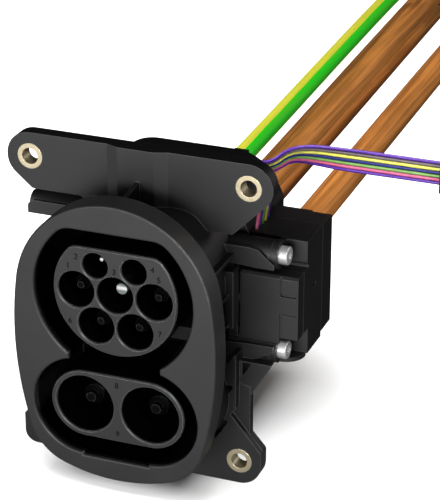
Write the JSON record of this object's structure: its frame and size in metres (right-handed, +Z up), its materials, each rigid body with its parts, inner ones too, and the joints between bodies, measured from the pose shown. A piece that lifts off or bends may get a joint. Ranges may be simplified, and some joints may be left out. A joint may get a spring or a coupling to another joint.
{
  "type": "vehicle charging socket",
  "caption": "Vehicle charging socket with an AC face over two DC contacts, a bolted flange, a motor-driven lock bolt at the side, and orange, earth and signal cables behind.",
  "frame": {"origin": "on the earth contact's axis, in the plane of the mounting flange's front face", "axes": "+Z up, -Y the way the face looks and a plug comes from, +X towards the lock actuator"},
  "size_m": [0.1687, 0.564, 0.1366],
  "materials": {
    "housing_black": "satin",
    "insert_black": "satin",
    "bush_brass": "satin",
    "contact_silver": "plated",
    "cap_black": "satin",
    "screw_steel": "bright",
    "retainer_grey": "matte",
    "board_green": "satin",
    "gear_white": "satin",
    "steel": "satin",
    "seal_rubber": "matte",
    "cable_orange": "satin",
    "cable_green_yellow": "satin",
    "lug_tin": "tinned",
    "lead_violet": "satin",
    "lead_grey": "satin",
    "lead_yellow": "satin",
    "lead_blue": "satin",
    "lead_green": "satin",
    "lead_red": "satin",
    "plug_black": "satin",
    "switch_black": "satin"
  },
  "bodies": {
    "housing": {"face_frame": "housing_black", "main_housing": "housing_black", "flange_bushings": "bush_brass", "ac_insert": "insert_black", "dc_insert": "insert_black", "ac_insert_base": "insert_black", "dc_insert_base": "insert_black", "sensor_board": "board_green", "ac_rear_housing": "housing_black", "dc_rear_housing": "housing_black", "actuator_cover": "housing_black", "actuator_case": "housing_black", "actuator_cap": "housing_black", "gear_axle": "steel", "lock_motor": "steel", "bolt_seal": "seal_rubber", "position_switch": "switch_black", "actuator_screws": "screw_steel", "actuator_leads": "lead_violet", "lead_grommet": "seal_rubber", "signal_plug": "plug_black", "core_wires": "cable_orange", "ac_plug": "plug_black", "ac_contact_caps": "cap_black", "dc_contact_caps": "cap_black", "ac_retainer": "retainer_grey", "dc_retainer": "retainer_grey", "lead_violet": "lead_violet", "lead_grey": "lead_grey", "lead_yellow": "lead_yellow", "lead_blue": "lead_blue", "lead_green": "lead_green", "lead_red": "lead_red", "lead_purple": "lead_violet", "gland_ac": "plug_black", "gland_earth": "plug_black", "gland_dc_plus": "plug_black", "gland_dc_minus": "plug_black", "cable_earth": "cable_green_yellow", "cable_ac": "cable_orange", "cable_dc_plus": "cable_orange", "cable_dc_minus": "cable_orange", "lug_earth": "lug_tin", "lug_dc_plus": "lug_tin", "lug_dc_minus": "lug_tin", "contact_earth": "contact_silver", "contact_line_one": "contact_silver", "contact_neutral": "contact_silver", "contact_line_two": "contact_silver", "contact_line_three": "contact_silver", "contact_proximity": "contact_silver", "contact_pilot": "contact_silver", "contact_dc_plus": "contact_silver", "contact_dc_minus": "contact_silver"},
    "lock_bolt": {"lock_bolt": "steel"},
    "drive_gear": {"drive_gear": "gear_white"},
    "motor_pinion": {"motor_pinion": "steel"}
  },
  "joints": [
    {"name": "lock_bolt_slide", "type": "slide", "parent": "housing", "child": "lock_bolt", "axis": [-1, 0, 0], "range_m": [0, 0.0065]},
    {"name": "drive_gear_spin", "type": "hinge", "parent": "housing", "child": "drive_gear", "pos_m": [0.05, 0.0194, -0.0035], "axis": [0, 0, 1], "range_deg": [-94, 1]},
    {"name": "motor_pinion_spin", "type": "hinge", "parent": "housing", "child": "motor_pinion", "pos_m": [0.05, 0.0305, -0.0035], "axis": [0, 0, 1], "range_deg": [-1, 195]}
  ],
  "couplings": [
    {"joint": "drive_gear_spin", "follows": "lock_bolt_slide", "rad_per_m": -250},
    {"joint": "motor_pinion_spin", "follows": "lock_bolt_slide", "rad_per_m": 520.83}
  ]
}
